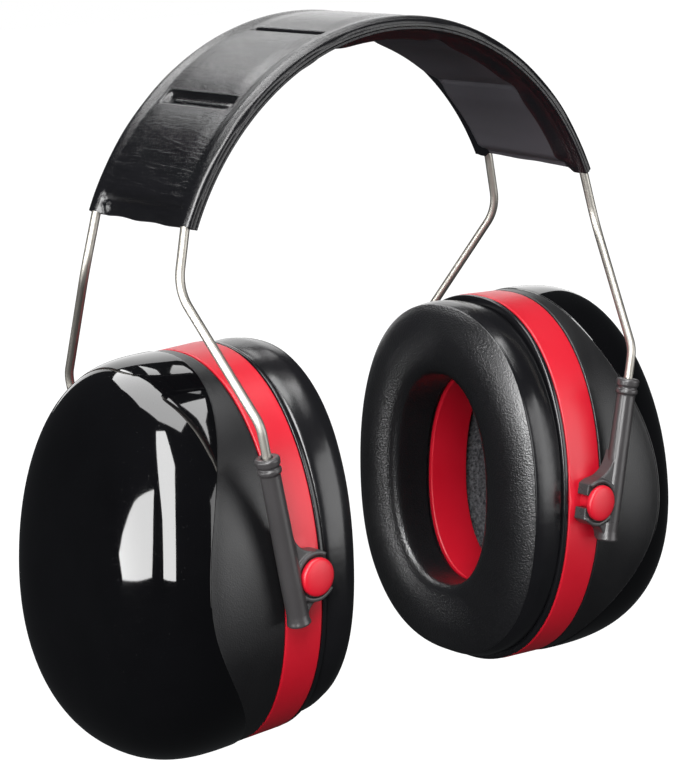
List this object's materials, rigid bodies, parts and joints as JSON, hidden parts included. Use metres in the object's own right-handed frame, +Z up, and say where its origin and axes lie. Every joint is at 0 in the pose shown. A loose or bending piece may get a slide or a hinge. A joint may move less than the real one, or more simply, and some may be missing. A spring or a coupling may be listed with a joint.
{
  "type": "hearing protection earmuffs",
  "caption": "Hearing protection earmuffs: oval cups on sliding, tilting arms, a spring-wire headband in a padded sleeve, and soft ear cushions.",
  "frame": {"origin": "middle of the headband lining's underside, where it rests on the crown of the head", "axes": "+Z up, +X towards the right cup as seen from the front, -Y the front; the cups hang along -Z"},
  "size_m": [0.2032, 0.0986, 0.203],
  "materials": {
    "outer_shell": "polished black with a fine matte band beside the belt",
    "inner_shell": "plain moulded",
    "base_ring": "satin red",
    "foam_liner": "open-cell foam, speckled grey",
    "cushion_plate": "plain moulded",
    "cushion_foam": "soft foam",
    "cushion_cover": "soft black foil with a leather grain",
    "pivot_stud": "satin red",
    "sliding_arm": "satin moulded",
    "wire_end_stop": "swaged",
    "spring_wire": "drawn spring steel",
    "headband_cover": "glossy black foil with a leather grain",
    "headband_lining": "matte black foil",
    "headband_foam": "soft foam"
  },
  "bodies": {
    "headband": {"headband_cover": "headband_cover", "headband_lining": "headband_lining", "headband_foam": "headband_foam", "front_wire": "spring_wire", "rear_wire": "spring_wire"},
    "left_leg": {"left_front_wire_end_stop": "wire_end_stop", "left_rear_wire_end_stop": "wire_end_stop"},
    "left_front_arm": {"left_front_arm": "sliding_arm"},
    "left_rear_arm": {"left_rear_arm": "sliding_arm"},
    "left_cup": {"left_outer_shell": "outer_shell", "left_inner_shell": "inner_shell", "left_base_ring": "base_ring", "left_foam_liner": "foam_liner", "left_cushion_plate": "cushion_plate", "left_cushion_foam": "cushion_foam", "left_cushion_cover": "cushion_cover", "left_front_pivot_stud": "pivot_stud", "left_rear_pivot_stud": "pivot_stud"},
    "right_leg": {"right_front_wire_end_stop": "wire_end_stop", "right_rear_wire_end_stop": "wire_end_stop"},
    "right_front_arm": {"right_front_arm": "sliding_arm"},
    "right_rear_arm": {"right_rear_arm": "sliding_arm"},
    "right_cup": {"right_outer_shell": "outer_shell", "right_inner_shell": "inner_shell", "right_base_ring": "base_ring", "right_foam_liner": "foam_liner", "right_cushion_plate": "cushion_plate", "right_cushion_foam": "cushion_foam", "right_cushion_cover": "cushion_cover", "right_front_pivot_stud": "pivot_stud", "right_rear_pivot_stud": "pivot_stud"}
  },
  "joints": [
    {"name": "left_spread", "type": "hinge", "parent": "headband", "child": "left_leg", "pos_m": [-0.046, 0, -0.012], "axis": [0, 1, 0], "range_deg": [-5, 25], "stiffness_Nm_per_rad": 4, "deforming": ["front_wire", "rear_wire", "headband_cover", "headband_lining", "headband_foam"]},
    {"name": "left_front_arm_slide", "type": "slide", "parent": "left_leg", "child": "left_front_arm", "axis": [0.1908, 0, -0.9816], "range_m": [-0.006, 0.03]},
    {"name": "left_rear_arm_slide", "type": "slide", "parent": "left_leg", "child": "left_rear_arm", "axis": [0.1908, 0, -0.9816], "range_m": [-0.006, 0.03]},
    {"name": "left_cup_tilt", "type": "hinge", "parent": "left_front_arm", "child": "left_cup", "pos_m": [-0.054, 0, -0.1384], "axis": [0, -1, 0], "range_deg": [-15, 25]},
    {"name": "right_spread", "type": "hinge", "parent": "headband", "child": "right_leg", "pos_m": [0.046, 0, -0.012], "axis": [0, -1, 0], "range_deg": [-5, 25], "stiffness_Nm_per_rad": 4, "deforming": ["front_wire", "rear_wire", "headband_cover", "headband_lining", "headband_foam"]},
    {"name": "right_front_arm_slide", "type": "slide", "parent": "right_leg", "child": "right_front_arm", "axis": [-0.1908, 0, -0.9816], "range_m": [-0.006, 0.03]},
    {"name": "right_rear_arm_slide", "type": "slide", "parent": "right_leg", "child": "right_rear_arm", "axis": [-0.1908, 0, -0.9816], "range_m": [-0.006, 0.03]},
    {"name": "right_cup_tilt", "type": "hinge", "parent": "right_front_arm", "child": "right_cup", "pos_m": [0.054, 0, -0.1384], "axis": [0, 1, 0], "range_deg": [-15, 25]}
  ],
  "couplings": [
    {"joint": "left_rear_arm_slide", "follows": "left_front_arm_slide", "ratio": 1},
    {"joint": "right_rear_arm_slide", "follows": "right_front_arm_slide", "ratio": 1},
    {"joint": "right_spread", "follows": "left_spread", "ratio": 1}
  ]
}
